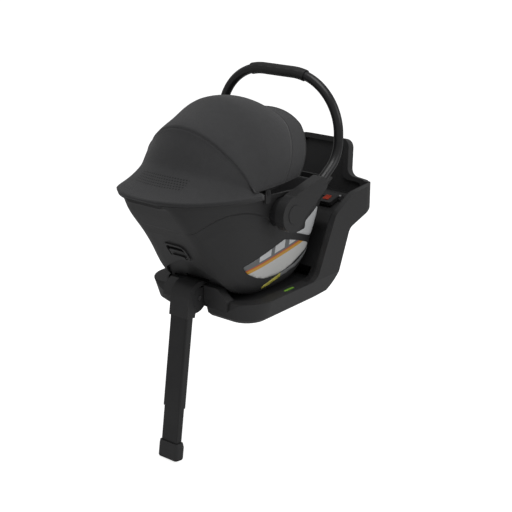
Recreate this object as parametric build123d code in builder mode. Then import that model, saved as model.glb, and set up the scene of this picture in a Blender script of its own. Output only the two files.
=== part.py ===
from build123d import *
import math
import os

os.makedirs("parts", exist_ok=True)

# Frame: +Z up, Z = 0 inside the leg bay just above the sole, +X the carrier's left-hand flank,
# -Y the head end with the load leg, +Y the foot end with the rebound panel. Millimetres.

# Driving dimensions: base
base_half_width = 190
base_front = -256
sole_z = -15
side_draft = 17
sole_inset = 18.5
edge_inset = 30
edge_draft = 50
skin = 3.5
shoulder_z = 46
deck_z = 41
deck_half_width = 152
deck_front = -232
shelf_end_z = 212
wing_inner = 172
panel_lean = 14.5
panel_thickness = 26
panel_foot = (275, 150)
panel_top = 209
recess_depth = 10

latch_bar_places = (-150, -20)
latch_bar_z = 55
latch_bar_radius = 5
latch_post_x = 88
level_x = 171
level_y = -80
anchor_x = 140
anchor_z = 84
anchor_width = 22
anchor_height = 16
anchor_inner_end = 66
anchor_button_back = 34
anchor_tip = 196
lock_half_width = 108
lock_thickness = 12
lock_button_x = 84

# Driving dimensions: load leg
hinge_y = -268
hinge_z = 44
leg_lean = 8.5
leg_axis_offset = 29
knuckle_radius = 43.5
knuckle_half_width = 31
ear_inner = 19.5
ear_radius = 26
hinge_pin_radius = 6
upper_tube = (58, 27)
lower_tube = (53, 21)
tube_wall = 2.2
elbow_end = 50
upper_tube_end = 293
lower_tube_start = 140
foot_start = 388
leg_length = 435
bracket_back = -224
leg_button_u = 266
leg_button = (16, 26)
foot_v = 27
bay_half_width = 34
bay_height = 35.5
bay_end = 112

# Driving dimensions: carrier
shell_wall = 5
rim_head_y = -428
rim_head_z = 338
rim_slope = -0.077
hub_y = -116
hub_z = 264
hub_radius = 46
drum_radius = 39
cover_inner_x = 187
cover_outer_x = 214
arm_x = 196.5
arm_inner_x = 181.5
arm_thickness = 30
tube_radius = 12.5
handle_y = 90
grip_z = 572
handle_corner = 148
canopy_pivot_y = -176
canopy_pivot_z = 327
cloth = 3
pad_thickness = 20
pad_face = 26.5
trim_thickness = 2.5
trim_height = 10
seam_gap = 0.6
bow_x = 163
belt_triangle = [(-26, 290), (38, 283), (8, 243)]


def save(piece, name):
    piece.part.label = name
    export_step(piece.part, f"parts/{name}.step")


def across(y):
    return Plane(origin=(0, y, 0), x_dir=(1, 0, 0), z_dir=(0, -1, 0))


def side_plane(x):
    return Plane(origin=(x, 0, 0), x_dir=(0, 1, 0), z_dir=(1, 0, 0))


# Planes of the leaning rebound panel: back face, and front rim
lean = math.radians(panel_lean)
panel_normal = (0, math.cos(lean), -math.sin(lean))
panel_back = Plane(origin=(0, *panel_foot), x_dir=(-1, 0, 0), z_dir=panel_normal)
panel_front = panel_back.offset(-panel_thickness)


def panel_front_y(z):
    start = panel_front.origin
    return start.Y + (z - start.Z) * math.tan(lean)


# Belt lock-off: its plane lies just over the shelf, hinged along the panel side
shelf_slope = math.degrees(math.atan2(shelf_end_z - 172, panel_front_y(shelf_end_z) - 112))
lock_lean = math.radians(shelf_slope)
lock_plane = Plane(
    origin=(0, 186, 195.5), x_dir=(1, 0, 0), z_dir=(0, -math.sin(lock_lean), math.cos(lock_lean))
)
lock_outline = [(-lock_half_width, 0), (lock_half_width, 0), (lock_half_width, 52), (-lock_half_width, 52)]
lock_hinge = Location(lock_plane.from_local_coords((0, 46, 6)), (0, 90, 0))

# Side view of the base: flat sole, rounded heel, wing, low shoulder
base_side = [
    (base_front, sole_z), (92, sole_z), (164, 156), (285, 193), (302, 258),
    (180, 250), (97, 208), (18, shoulder_z), (base_front + 10, shoulder_z),
]
base_side_radii = [16, 90, 28, 16, 16, 60, 45, 40, 8]
plan_rear = 306
plan_front_radius = 85
plan_rear_radius = 70
panel_outline = [(160, 60), (160, 106), (98, 112), (84, panel_top)]
panel_outline_radii = [0, 14, 26, 26]
panel_recess = [(146, 64), (146, 96), (82, 99), (70, panel_top - 14)]
panel_recess_radii = [0, 10, 24, 16]
pedestal = [(108, 20), (108, shoulder_z), (80, 76)]
pedestal_depth = 52


def mirrored(points):
    return points + [(-x, y) for x, y in reversed(points)]


def outline(plane, points, radii, grow=0):
    """A closed outline of straight runs and rounded corners, grown or drawn in all round."""
    with BuildSketch(plane) as sketch:
        with BuildLine():
            FilletPolyline(*points, radius=radii, close=True)
        make_face()
        if grow:
            offset(amount=grow, mode=Mode.REPLACE)
    return sketch.sketch


def base_prism(inset):
    """The base's side view inside its plan outline, drawn in all round by inset."""
    w = base_half_width - inset
    plan = [(-w, base_front + inset), (w, base_front + inset), (w, plan_rear - inset), (-w, plan_rear - inset)]
    plan_radii = [plan_front_radius - inset] * 2 + [plan_rear_radius - inset] * 2
    with BuildPart() as prism:
        extrude(outline(Plane.YZ, base_side, base_side_radii, -inset), amount=w, both=True)
        extrude(outline(Plane.XY.offset(sole_z - 10), plan, plan_radii), amount=400, mode=Mode.INTERSECT)
        # Sides drawn in towards the sole, with a steeper band along its edge
        for drawn_in, draft in ((sole_inset, side_draft), (edge_inset, edge_draft)):
            v = w - drawn_in
            front = base_front + inset + drawn_in
            low = [(-v, front), (v, front), (v, plan_rear + 90), (-v, plan_rear + 90)]
            low_radii = [plan_front_radius - inset - drawn_in] * 2 + [0, 0]
            foot = outline(Plane.XY.offset(sole_z), low, low_radii)
            extrude(foot, amount=400, taper=-draft, mode=Mode.INTERSECT)
    return prism.part


def dish(grow):
    """The space inside the base: shallow deck, rise at the foot end and the panel's recess."""
    low = deck_half_width + grow
    front = deck_front - grow
    deck = [(-low, front), (low, front), (low, 45), (-low, 45)]
    rise = [
        (-5, shoulder_z), (26, shoulder_z), (112, 172),
        (panel_front_y(shelf_end_z), shelf_end_z), (panel_front_y(420), 420), (-20, 420),
    ]
    recess_radii = panel_recess_radii + panel_recess_radii[::-1]
    with BuildPart() as space:
        extrude(outline(Plane.XY.offset(deck_z - grow), deck, [70, 70, 0, 0]), amount=30)
        extrude(outline(Plane.YZ, rise, [0, 30, 40, 8, 0, 0], grow), amount=wing_inner + grow, both=True)
        extrude(outline(panel_front, mirrored(panel_recess), recess_radii, grow), amount=recess_depth + grow)
    return space.part


with BuildPart() as base_form:
    add(base_prism(0))
    extrude(
        outline(panel_back, mirrored(panel_outline), panel_outline_radii + panel_outline_radii[::-1]),
        amount=-panel_thickness,
    )
    # Raised block at the front that carries the leg, with sloping flanks
    with BuildSketch(across(base_front)):
        with BuildLine():
            FilletPolyline(*mirrored(pedestal), radius=[0, 4, 8, 8, 4, 0], close=True)
        make_face()
    extrude(amount=-pedestal_depth)
    # Room for the leg's knuckle to turn in
    with BuildSketch(Plane.YZ):
        with Locations((hinge_y, hinge_z)):
            Circle(knuckle_radius + 2)
    extrude(amount=knuckle_half_width + 1.5, both=True, mode=Mode.SUBTRACT)


# Fork that holds the leg: two rounded ears on a back plate
with BuildPart() as leg_bracket:
    with BuildSketch(side_plane(ear_inner)):
        with Locations((hinge_y, hinge_z)):
            Circle(ear_radius)
        with BuildLine():
            Polyline(
                (hinge_y, hinge_z - 10), (bracket_back, hinge_z - 10), (bracket_back, hinge_z + ear_radius),
                (hinge_y, hinge_z + ear_radius), close=True,
            )
        make_face()
        with Locations((hinge_y, hinge_z)):
            Circle(hinge_pin_radius, mode=Mode.SUBTRACT)
    extrude(amount=knuckle_half_width - 0.5 - ear_inner)
    mirror(about=Plane.YZ)
    with Locations((0, bracket_back + 3, hinge_z + 10)):
        Box(2 * knuckle_half_width - 1, 6, 44)

# Hollow in the base's underside that the folded leg lies in
with BuildPart() as leg_bay:
    with BuildSketch(Plane.XY.offset(sole_z - 5)):
        with Locations((0, (base_front - 20 + bay_end) / 2)):
            Rectangle(2 * bay_half_width, bay_end - base_front + 20)
    extrude(amount=bay_height - sole_z + 5)

with BuildPart() as bay_walls:
    add(offset(leg_bay.part, amount=1.9, mode=Mode.PRIVATE))

screw_places = [(x, y) for x in (-135, 135) for y in (-160, -60, 20)] + [(-70, -190), (70, -190)]

with BuildPart() as base_hollow:
    add(base_prism(skin))
    add(dish(skin), mode=Mode.SUBTRACT)
    add(bay_walls.part, mode=Mode.SUBTRACT)
    with Locations([(x, y, 10) for x, y in screw_places]):
        Cylinder(7, 60, mode=Mode.SUBTRACT)

with BuildPart() as base_shell:
    add(base_form.part)
    add(base_hollow.part, mode=Mode.SUBTRACT)
    add(dish(skin), mode=Mode.SUBTRACT)
    add(leg_bay.part, mode=Mode.SUBTRACT)
    add(leg_bracket.part, mode=Mode.SUBTRACT)
with BuildPart() as base_liner:
    add(base_form.part)
    add(dish(skin), mode=Mode.INTERSECT)
    add(dish(0), mode=Mode.SUBTRACT)

# Latch bars, each on two end blocks that stand on the deck
for name, y in zip(("latch_bar_front", "latch_bar_rear"), latch_bar_places):
    with BuildPart() as latch_bar:
        with Locations(Location((0, y, latch_bar_z), (0, 90, 0))):
            Cylinder(latch_bar_radius, 2 * latch_post_x)
        with Locations((latch_post_x, y, deck_z), (-latch_post_x, y, deck_z)):
            Box(14, 16, 20, align=(Align.CENTER, Align.CENTER, Align.MIN))
    save(latch_bar, name)

# Screws that close the base from below, in one group
with BuildPart() as base_screws:
    with Locations([(x, y, sole_z) for x, y in screw_places]):
        Cylinder(4.5, 3, align=(Align.CENTER, Align.CENTER, Align.MIN))
        Cylinder(2, 26, align=(Align.CENTER, Align.CENTER, Align.MIN))
    with Locations([(x, y, sole_z) for x, y in screw_places]):
        Box(5, 1, 1.6, align=(Align.CENTER, Align.CENTER, Align.MIN), mode=Mode.SUBTRACT)
        Box(1, 5, 1.6, align=(Align.CENTER, Align.CENTER, Align.MIN), mode=Mode.SUBTRACT)

# Rubber strips let into the underside
with BuildPart() as grip_pads:
    with BuildSketch(Plane.XY.offset(sole_z)):
        with Locations((-95, -85), (95, -85)):
            SlotOverall(190, 26, rotation=90)
    extrude(amount=1.6)

# Level windows on the two shoulders
with BuildPart() as level_windows:
    with BuildSketch(Plane.XY.offset(shoulder_z - 3)):
        with Locations((-level_x, level_y), (level_x, level_y)):
            SlotOverall(38, 11, rotation=90)
    extrude(amount=3.6)

# Lower-anchor connectors: a slotted jaw on a flat bar that runs back from the heel
def connector_place(x):
    return Plane(origin=(x, 0, anchor_z), x_dir=(1, 0, 0), z_dir=(0, 1, 0))


with BuildPart() as anchor_slots:
    for x in (-anchor_x, anchor_x):
        with BuildSketch(connector_place(x).offset(anchor_inner_end)):
            RectangleRounded(anchor_width + 1, anchor_height + 1, 3)
    extrude(amount=200)

for name, x in (("anchor_connector_left", anchor_x), ("anchor_connector_right", -anchor_x)):
    with BuildPart() as connector:
        with BuildSketch(connector_place(x).offset(anchor_inner_end + 10)):
            RectangleRounded(anchor_width, anchor_height, 3)
        extrude(amount=anchor_tip - anchor_inner_end - 10)
        # Jaw for a 6 mm bar, open to the rear
        with BuildSketch(side_plane(x)):
            with Locations((anchor_tip - 14, anchor_z)):
                Circle(3.4)
            with Locations((anchor_tip - 6, anchor_z)):
                Rectangle(16, 6.8)
        extrude(amount=60, both=True, mode=Mode.SUBTRACT)
        # Window for the release button on top
        with Locations((x, anchor_tip - anchor_button_back, anchor_z + anchor_height / 2)):
            Box(10.4, 20.4, 8, mode=Mode.SUBTRACT)
    save(connector, name)
    with BuildPart() as connector_button:
        with BuildSketch(Plane.XY.offset(anchor_z + anchor_height / 2 - 2)):
            with Locations((x, anchor_tip - anchor_button_back)):
                RectangleRounded(10, 20, 2)
        extrude(amount=4)
    save(connector_button, name.replace("connector", "button"))

# Belt lock-off: a hinged bar across the shelf behind the carrier, its pin on two ears, button and marker
with BuildPart() as lockoff_arm:
    extrude(outline(lock_plane, lock_outline, [6] * 4), amount=lock_thickness)
    with BuildSketch(lock_plane.offset(lock_thickness)):
        with Locations((0, 22)):
            SlotOverall(150, 16)
    extrude(amount=-3, mode=Mode.SUBTRACT)
    with BuildSketch(lock_plane.offset(lock_thickness)):
        with Locations((lock_button_x, 22)):
            RectangleRounded(18.4, 22.4, 3)
    extrude(amount=-7, mode=Mode.SUBTRACT)
    with Locations(lock_hinge):
        Cylinder(3.06, 400, mode=Mode.SUBTRACT)
with BuildPart() as lockoff_pin:
    with Locations(lock_hinge):
        Cylinder(3, 2 * lock_half_width + 16)
    for x in (lock_half_width + 1, -lock_half_width - 8):
        with BuildSketch(side_plane(x)):
            with Locations((lock_hinge.position.Y, lock_hinge.position.Z)):
                Circle(7)
            with Locations((lock_hinge.position.Y + 3, lock_hinge.position.Z - 8)):
                Rectangle(20, 16, rotation=panel_lean)
        extrude(amount=7)
    add(dish(0), mode=Mode.INTERSECT)
with BuildPart() as lockoff_button:
    with BuildSketch(lock_plane.offset(lock_thickness - 3)):
        with Locations((lock_button_x, 22)):
            RectangleRounded(18, 22, 3)
    extrude(amount=5)
    with BuildSketch(lock_plane.offset(lock_thickness + 2)):
        with Locations((lock_button_x, 22)):
            RectangleRounded(11, 14, 2)
    extrude(amount=-1.2, mode=Mode.SUBTRACT)
with BuildPart() as belt_marker:
    with BuildSketch(lock_plane.offset(lock_thickness)):
        with Locations((lock_button_x - 22, 18)):
            Triangle(a=16, b=24, c=24)
    extrude(amount=1.2)

# Indicator window let into the top of the raised block
with BuildPart() as leg_window:
    with BuildSketch(Plane.XY.offset(74.5)):
        with Locations((0, -210)):
            SlotOverall(26, 7)
    extrude(amount=1.9)

# Finish the base: holes for screws, pads, windows and connectors
with BuildPart() as base_shell_done:
    add(base_shell.part)
    with Locations([(x, y, sole_z) for x, y in screw_places]):
        Cylinder(4.5, 3, align=(Align.CENTER, Align.CENTER, Align.MIN), mode=Mode.SUBTRACT)
        Cylinder(2, 26, align=(Align.CENTER, Align.CENTER, Align.MIN), mode=Mode.SUBTRACT)
    add(grip_pads.part, mode=Mode.SUBTRACT)
    add(level_windows.part, mode=Mode.SUBTRACT)
    add(leg_window.part, mode=Mode.SUBTRACT)
    add(anchor_slots.part, mode=Mode.SUBTRACT)
with BuildPart() as base_liner_done:
    add(base_liner.part)
    add(leg_bracket.part, mode=Mode.SUBTRACT)
    add(base_shell_done.part, mode=Mode.SUBTRACT)

save(base_shell_done, "base_shell")
save(base_liner_done, "base_liner")
save(leg_bracket, "leg_bracket")
save(base_screws, "base_screws")
save(grip_pads, "base_grip_pads")
save(level_windows, "level_windows")
save(lockoff_arm, "lockoff_arm")
save(lockoff_pin, "lockoff_pin")
save(lockoff_button, "lockoff_button")
save(belt_marker, "belt_marker")
save(leg_window, "leg_window")

# Load leg, drawn along its own axis: u runs down the leg from the hinge, v points forward
tilt = math.radians(leg_lean)
leg_down = Vector(0, -math.sin(tilt), -math.cos(tilt))
leg_forward = Vector(0, -math.cos(tilt), math.sin(tilt))
leg_hinge = Vector(0, hinge_y, hinge_z)
leg_side = Plane(origin=leg_hinge, x_dir=leg_down, z_dir=(-1, 0, 0))
bore = (upper_tube[0] - 2 * tube_wall, upper_tube[1] - 2 * tube_wall)


def leg_section(u, v=leg_axis_offset):
    return Plane(origin=leg_hinge + leg_down * u + leg_forward * v, x_dir=(1, 0, 0), z_dir=leg_down)


def leg_rear_face(u, v):
    return Plane(origin=leg_hinge + leg_down * u + leg_forward * v, x_dir=(1, 0, 0), z_dir=leg_forward)


with BuildPart() as leg_pin:
    with Locations(Location(leg_hinge, (0, 90, 0))):
        Cylinder(hinge_pin_radius, 2 * knuckle_half_width - 1)

with BuildPart() as leg_elbow:
    with BuildSketch(leg_side):
        Circle(knuckle_radius)
        with BuildLine():
            Polyline((0, 13.5), (elbow_end, 13.5), (elbow_end, knuckle_radius), (0, knuckle_radius), close=True)
        make_face()
    extrude(amount=knuckle_half_width, both=True)
    # Cheeks cut away to pass the ears of the fork through the whole fold
    for side in (1, -1):
        with BuildSketch(leg_side.offset(side * (ear_inner - 0.5))):
            Circle(ear_radius + 1)
            with BuildLine():
                Polyline((-31.5, -60), (70, -60), (70, 12.5), (0, 12.5), (-31.5, 0), close=True)
            make_face()
        extrude(amount=side * 40, mode=Mode.SUBTRACT)
    # Bore for the hinge pin, and the spigot that the tube is pressed on
    with Locations(Location(leg_hinge, (0, 90, 0))):
        Cylinder(hinge_pin_radius + 0.05, 100, mode=Mode.SUBTRACT)
    with BuildSketch(leg_section(elbow_end)):
        RectangleRounded(*bore, 3)
    extrude(amount=12)

with BuildPart() as leg_upper_tube:
    with BuildSketch(leg_section(elbow_end)):
        RectangleRounded(*upper_tube, 6)
        RectangleRounded(*bore, 3, mode=Mode.SUBTRACT)
    extrude(amount=upper_tube_end - elbow_end)
    with BuildSketch(leg_rear_face(leg_button_u, 0)):
        RectangleRounded(leg_button[0] + 0.8, leg_button[1] + 0.8, 4)
    extrude(amount=20, mode=Mode.SUBTRACT)

with BuildPart() as leg_button_piece:
    with BuildSketch(leg_rear_face(leg_button_u, 12)):
        RectangleRounded(*leg_button, 4)
    extrude(amount=4.3)
    fillet(leg_button_piece.faces().sort_by(Axis(leg_hinge, leg_forward))[0].edges(), 1)

with BuildPart() as leg_lower_tube:
    with BuildSketch(leg_section(lower_tube_start)):
        RectangleRounded(*lower_tube, 3)
        RectangleRounded(lower_tube[0] - 4, lower_tube[1] - 4, 2, mode=Mode.SUBTRACT)
    extrude(amount=foot_start + 8 - lower_tube_start)
    # Row of height holes in the rear wall
    for step in range(7):
        with BuildSketch(leg_rear_face(lower_tube_start + 14 + 18 * step, 0)):
            Circle(3.5)
        extrude(amount=24, mode=Mode.SUBTRACT)

with BuildPart() as leg_foot:
    with BuildSketch(leg_section(foot_start)):
        RectangleRounded(60, 29, 6)
    with BuildSketch(leg_section(foot_start + 12, foot_v)):
        RectangleRounded(66, 33, 9)
    with BuildSketch(leg_section(leg_length - 4, foot_v)):
        RectangleRounded(66, 33, 9)
    loft(ruled=True)
    with BuildSketch(leg_section(foot_start)):
        RectangleRounded(*lower_tube, 3)
    extrude(amount=8, mode=Mode.SUBTRACT)
with BuildPart() as leg_sole:
    with BuildSketch(leg_section(leg_length - 4, foot_v)):
        RectangleRounded(64, 31, 8)
    extrude(amount=4)
    fillet(leg_sole.faces().sort_by(Axis(leg_hinge, leg_down))[-1].edges(), 2.5)

save(leg_pin, "leg_hinge_pin")
save(leg_elbow, "leg_elbow")
save(leg_upper_tube, "leg_upper_tube")
save(leg_button_piece, "leg_button")
save(leg_lower_tube, "leg_lower_tube")
save(leg_foot, "leg_foot")
save(leg_sole, "leg_sole")

# Carrier tub: stations along Y with the bottom height, half-widths at bottom and rim, and bottom corner
stations = [
    (-428, 320, 54, 70, 8), (-402, 297, 80, 106, 24), (-345, 220, 97, 144, 40), (-285, 133, 108, 162, 45),
    (-240, 74, 121, 168, 40), (-190, 49, 130, 172, 34), (-100, 42, 134, 172, 32), (-15, 49, 132, 172, 34),
    (40, 80, 126, 171, 40), (85, 155, 116, 167, 40), (120, 228, 108, 155, 30), (142, 274, 98, 136, 9),
]


def rim_height(y):
    return rim_head_z + rim_slope * (y - rim_head_y)


rim_plane = Plane(origin=(0, rim_head_y, rim_head_z), x_dir=(1, 0, 0), z_dir=(0, -rim_slope, 1))


def tub(inset, above=0):
    """The tub's outer form drawn in by inset, carried up past the rim by above."""
    last = len(stations) - 1
    with BuildPart() as form:
        for i, (y, bottom, low, high, corner) in enumerate(stations):
            if inset > 10 and i in (0, last):
                continue
            before = stations[max(i - 1, 0)]
            after = stations[min(i + 1, last)]
            slope = (after[1] - before[1]) / (after[0] - before[0])
            end = {0: inset, last: -inset}.get(i, 0)
            floor = bottom + inset * math.hypot(1, slope) + end * slope
            top = rim_height(y) + above
            flare = min(above * (high - low) / (rim_height(y) - bottom), 5)
            low_in = low - inset
            high_in = high - inset + flare
            with BuildSketch(across(y + end)):
                with BuildLine():
                    FilletPolyline(
                        (-high_in, top), (-low_in, floor), (low_in, floor), (high_in, top),
                        radius=[0, max(corner - inset, 6), max(corner - inset, 6), 0], close=True,
                    )
                make_face()
        loft()
    return form.part


back_slope = math.atan2(87, 60)
back_plane = Plane(
    origin=(0, -285, 133), x_dir=(1, 0, 0), z_dir=(0, -math.sin(back_slope), -math.cos(back_slope))
)
back_arch = [(102, -90), (90, -38), (46, -7), (14, 14)]
back_arch_depth = 9
knuckle_room = 8


def front_notch(grow):
    """Room under the head end for the base's raised block, and the arched recess above it."""
    shape = [(111 + grow, 20), (111 + grow, 48 + grow), (83 + grow, 79 + grow)]
    arch = mirrored(back_arch)
    with BuildPart() as notch:
        extrude(outline(across(-201 + grow), mirrored(shape), 0), amount=110)
        with BuildSketch(Plane.YZ):
            with Locations((hinge_y, hinge_z)):
                Circle(knuckle_radius + knuckle_room + grow)
        extrude(amount=knuckle_half_width + knuckle_room + grow, both=True)
        extrude(
            outline(back_plane.offset(-back_arch_depth - grow), arch, [0, 40, 40, 12, 12, 40, 40, 0], grow),
            amount=60,
        )
    return notch.part


def latch_grooves(grow):
    """Cross grooves in the underside that drop over the base's latch bars."""
    with BuildPart() as grooves:
        for y in latch_bar_places:
            with Locations((0, y - 4.5, 45)):
                Box(208 + 2 * grow, 31 + 2 * grow, 40 + 2 * grow)
    return grooves.part


shell_form = tub(0)

# Pocket for the release lever in the back of the tub, above the arched recess
lever_up = 50
lever_place = back_plane.from_local_coords((0, lever_up, 0))
release_plane = Plane(origin=lever_place, x_dir=(1, 0, 0), z_dir=back_plane.z_dir)
bezel_size = (70, 58)
with BuildPart() as release_bezel:
    with BuildSketch(release_plane.offset(-6)):
        RectangleRounded(*bezel_size, 16)
    extrude(amount=9.5)
    with BuildSketch(release_plane.offset(-4)):
        RectangleRounded(bezel_size[0] - 12, bezel_size[1] - 12, 11)
    extrude(amount=20, mode=Mode.SUBTRACT)
with BuildPart() as release_lever:
    with BuildSketch(release_plane.offset(-3.7)):
        with Locations((0, -7)):
            RectangleRounded(54, 30, 9)
    extrude(amount=6)
    with BuildSketch(release_plane.offset(2.3)):
        with Locations((0, -14)):
            SlotOverall(44, 10)
    extrude(amount=4)

with BuildPart() as carrier_shell:
    add(shell_form)
    add(tub(shell_wall, 30) - front_notch(4) - latch_grooves(4), mode=Mode.SUBTRACT)
    add(front_notch(0), mode=Mode.SUBTRACT)
    add(latch_grooves(0), mode=Mode.SUBTRACT)
    with BuildSketch(release_plane.offset(-15)):
        RectangleRounded(*bezel_size, 16)
    extrude(amount=30, mode=Mode.SUBTRACT)

# Edge trim round the outside of the rim
with BuildPart() as rim_trim:
    add(tub(-trim_thickness))
    with BuildSketch(rim_plane.offset(-trim_height)):
        Rectangle(900, 1800)
    extrude(amount=trim_height, mode=Mode.INTERSECT)
    add(shell_form, mode=Mode.SUBTRACT)

# Latch hooks that reach down beside the bars
for name, y in zip(("latch_hook_front", "latch_hook_rear"), latch_bar_places):
    with BuildPart() as latch_hook:
        for x in (-40, 40):
            with BuildSketch(side_plane(x)):
                with BuildLine():
                    Polyline(
                        (y - 11, 64.5), (y - 7, 64.5), (y - 7, 51), (y - 5.6, 50), (y - 5.6, 47.2), (y - 11, 47.2),
                        close=True,
                    )
                make_face()
        extrude(amount=12, both=True)
    save(latch_hook, name)

save(carrier_shell, "carrier_shell")
save(rim_trim, "rim_trim")
save(release_bezel, "release_bezel")
save(release_lever, "release_lever")

# Handle: fixed drum and pin, turning bracket with its button, bent tube and grip
socket_rise = 34
rise = math.radians(socket_rise)
socket_end = Vector(arm_x, 20, 322)
socket_run = Vector(0, math.cos(rise), math.sin(rise))
tube_start = socket_end - socket_run * 38
elbow_point = Vector(arm_x, handle_y, socket_end.Z + (handle_y - socket_end.Y) * math.tan(rise))
bracket_outline = [(-118, 309), (8, 337), (30, 307), (-42, 262), (-96, 224), (-150, 250)]

for name, flank in (("left", 1), ("right", -1)):
    with BuildPart() as hub_drum:
        with BuildSketch(side_plane(flank * 150)):
            with Locations((hub_y, hub_z)):
                Circle(drum_radius)
                Circle(9, mode=Mode.SUBTRACT)
        extrude(amount=flank * (cover_inner_x - 0.5 - 150))
        add(shell_form, mode=Mode.SUBTRACT)
    with BuildPart() as hub_pin:
        with BuildSketch(side_plane(flank * 173)):
            with Locations((hub_y, hub_z)):
                Circle(9)
        extrude(amount=flank * 23.5)
    with BuildPart() as bracket:
        extrude(
            outline(side_plane(flank * arm_inner_x), bracket_outline, [12, 10, 10, 30, 10, 10]),
            amount=flank * arm_thickness,
        )
        with BuildSketch(side_plane(flank * arm_inner_x)):
            with Locations((hub_y, hub_z)):
                Circle(drum_radius + 1.5)
        extrude(amount=flank * (cover_inner_x - arm_inner_x), mode=Mode.SUBTRACT)
        with BuildSketch(side_plane(flank * cover_inner_x)):
            with Locations((hub_y, hub_z)):
                Circle(hub_radius)
        extrude(amount=flank * (cover_outer_x - cover_inner_x))
        with BuildSketch(side_plane(flank * cover_outer_x)):
            with Locations((hub_y, hub_z)):
                Circle(24.5)
        extrude(amount=-flank * 13, mode=Mode.SUBTRACT)
        with BuildSketch(side_plane(flank * 150)):
            with Locations((hub_y, hub_z)):
                Circle(9.05)
        extrude(amount=flank * 50, mode=Mode.SUBTRACT)
        with BuildSketch(Plane(origin=(flank * arm_x, tube_start.Y, tube_start.Z), z_dir=socket_run)):
            Circle(tube_radius)
        extrude(amount=60, mode=Mode.SUBTRACT)
    with BuildPart() as button:
        with BuildSketch(side_plane(flank * (cover_outer_x - 7))):
            with Locations((hub_y, hub_z)):
                Circle(24)
        extrude(amount=flank * 8)
        with BuildSketch(side_plane(flank * (cover_outer_x - 7))):
            with Locations((hub_y, hub_z)):
                Circle(20)
        extrude(amount=flank * 5.5, mode=Mode.SUBTRACT)
    save(hub_drum, f"hub_drum_{name}")
    save(hub_pin, f"hub_pin_{name}")
    save(bracket, f"handle_bracket_{name}")
    save(button, f"handle_button_{name}")
    # Belt guide: a rounded triangle on the flank, just below the rim
    with BuildPart() as belt_guide:
        extrude(outline(side_plane(flank * 150), belt_triangle, [6] * 3, 7), amount=flank * 28)
        extrude(outline(side_plane(flank * 150), belt_triangle, [6] * 3), amount=flank * 28, mode=Mode.SUBTRACT)
        add(shell_form, mode=Mode.SUBTRACT)
    save(belt_guide, f"belt_guide_{name}")

with BuildPart() as handle_tube:
    with BuildLine() as handle_path:
        FilletPolyline(
            tube_start, elbow_point, (arm_x, handle_y, grip_z), (-arm_x, handle_y, grip_z),
            (-arm_x, elbow_point.Y, elbow_point.Z), (-arm_x, tube_start.Y, tube_start.Z),
            radius=[80, handle_corner, handle_corner, 80],
        )
    with BuildSketch(Plane(origin=tube_start, z_dir=socket_run)):
        Circle(tube_radius)
        Circle(tube_radius - 2, mode=Mode.SUBTRACT)
    sweep()

grip_end_x = 88
corner_x = arm_x - handle_corner
corner_z = grip_z - handle_corner
grip_turn = math.asin((grip_end_x - corner_x) / handle_corner)


def grip_point(turn, flank):
    x = corner_x + handle_corner * math.sin(turn)
    return (flank * x, handle_y, corner_z + handle_corner * math.cos(turn))


with BuildPart() as handle_grip:
    with BuildLine() as grip_path:
        ThreePointArc(grip_point(grip_turn, 1), grip_point(grip_turn / 2, 1), grip_point(0, 1))
        Line(grip_point(0, 1), grip_point(0, -1))
        ThreePointArc(grip_point(0, -1), grip_point(grip_turn / 2, -1), grip_point(grip_turn, -1))
    with BuildSketch(Plane(origin=grip_path.line @ 0, z_dir=grip_path.line % 0)):
        Circle(tube_radius + 3)
        Circle(tube_radius + 0.1, mode=Mode.SUBTRACT)
    sweep()

save(handle_tube, "handle_tube")
save(handle_grip, "handle_grip")


# Canopy: arches in leaning planes, each with its base and apex (Y, Z), half-width, and the flank
# and shoulder points as shares of the half-width and height
def rounded(power):
    return [(share, (1 - share**power) ** (1 / power)) for share in (0.93, 0.66)]


arches = {
    "hem": ((-192, 325), (-451, 342), 178.5, rounded(2.3)),
    "saddle": ((-206, 334), (-366, 394), 177, rounded(2.0)),
    "ridge": ((-228, 337), (-296, 485), 176, rounded(1.65)),
    "crown": ((-176, 337), (-146, 538), 177, rounded(2.1)),
    "valley": ((-108, 337), (2, 492), 175, rounded(2.2)),
    "visor": ((-40, 338), (60, 479), 168, rounded(2.25)),
}


def arch_plane(name):
    (base_y, base_z), (apex_y, apex_z) = arches[name][:2]
    rise_y = apex_y - base_y
    rise_z = apex_z - base_z
    return Plane(origin=(0, base_y, base_z), x_dir=(1, 0, 0), z_dir=(0, -rise_z, rise_y))


def arch_points(name, inset):
    """Foot, flank, shoulder and apex of half an arch, drawn in by inset."""
    (base_y, base_z), (apex_y, apex_z), half_width, shares = arches[name]
    width = half_width - inset
    height = math.hypot(apex_y - base_y, apex_z - base_z) - inset
    return [(width, 0)] + [(x * width, y * height) for x, y in shares] + [(0, height)]


def arch_band(name, inset, thickness, shift=0):
    """A strip of the given thickness bent over an arch."""
    with BuildSketch(arch_plane(name).offset(shift)) as band:
        with BuildLine():
            ends = []
            for depth in (inset, inset + thickness):
                foot, flank, shoulder, apex = arch_points(name, depth)
                far = [(-x, y) for x, y in (shoulder, flank, foot)]
                ThreePointArc(foot, flank, shoulder)
                ThreePointArc(shoulder, apex, far[0])
                ThreePointArc(*far)
                ends.append((foot, far[2]))
            Line(ends[0][0], ends[1][0])
            Line(ends[0][1], ends[1][1])
        make_face()
    return band.sketch


def canopy_panel(*names, start_shift=0):
    with BuildPart() as panel:
        loft([arch_band(n, 0, cloth, start_shift if i == 0 else 0) for i, n in enumerate(names)])
    return panel


canopy_rear = canopy_panel("hem", "saddle", "ridge")
canopy_middle = canopy_panel("ridge", "crown", "valley", start_shift=-seam_gap)
canopy_visor = canopy_panel("valley", "visor", start_shift=-seam_gap)
save(canopy_rear, "canopy_rear_panel")
save(canopy_middle, "canopy_middle_panel")
save(canopy_visor, "canopy_visor_panel")

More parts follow.
